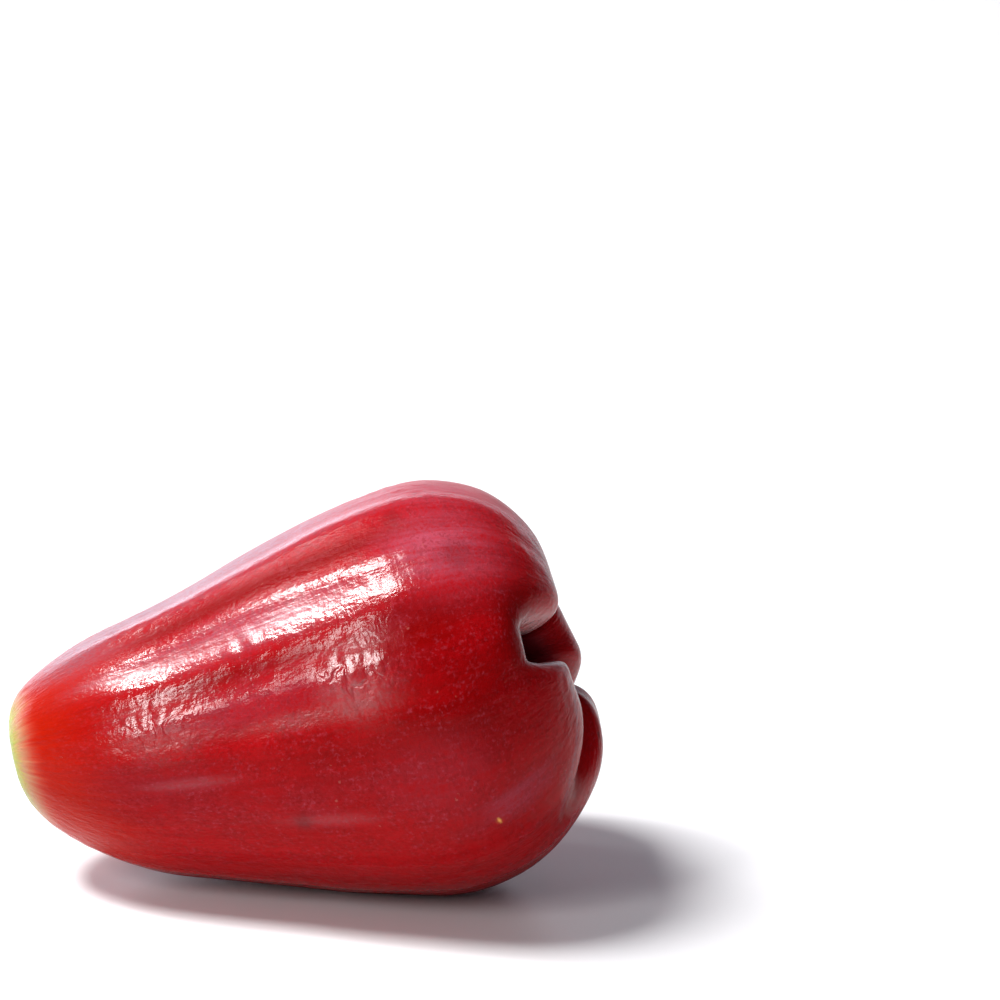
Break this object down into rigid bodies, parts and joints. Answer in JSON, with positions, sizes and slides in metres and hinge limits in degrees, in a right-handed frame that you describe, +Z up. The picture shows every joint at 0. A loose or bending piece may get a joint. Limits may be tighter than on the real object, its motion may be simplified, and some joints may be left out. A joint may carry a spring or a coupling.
{
  "type": "rose apple",
  "caption": "Whole bell-shaped rose apple lying on its side: waxy ridged skin and fleshy in-curved calyx lobes round a cavity that holds dry stamen and style remains.",
  "frame": {"origin": "centre of the bounding box in X and Y, on the surface that the fruit rests on", "axes": "+X from the stem scar towards the calyx end, whose side of the fruit is raised by 14 degrees, +Z up, and -Y towards the side that the picture shows"},
  "size_m": [0.0892, 0.0612, 0.0612],
  "materials": {
    "skin": "waxy glossy fruit skin, streaked crimson with a green stem end",
    "dry_stamen": "dry matt brown plant fibre",
    "dry_style": "dry matt dark brown plant fibre"
  },
  "bodies": {
    "root": {"fruit": "skin", "stamen_ring": "dry_stamen", "style": "dry_style"}
  },
  "joints": []
}
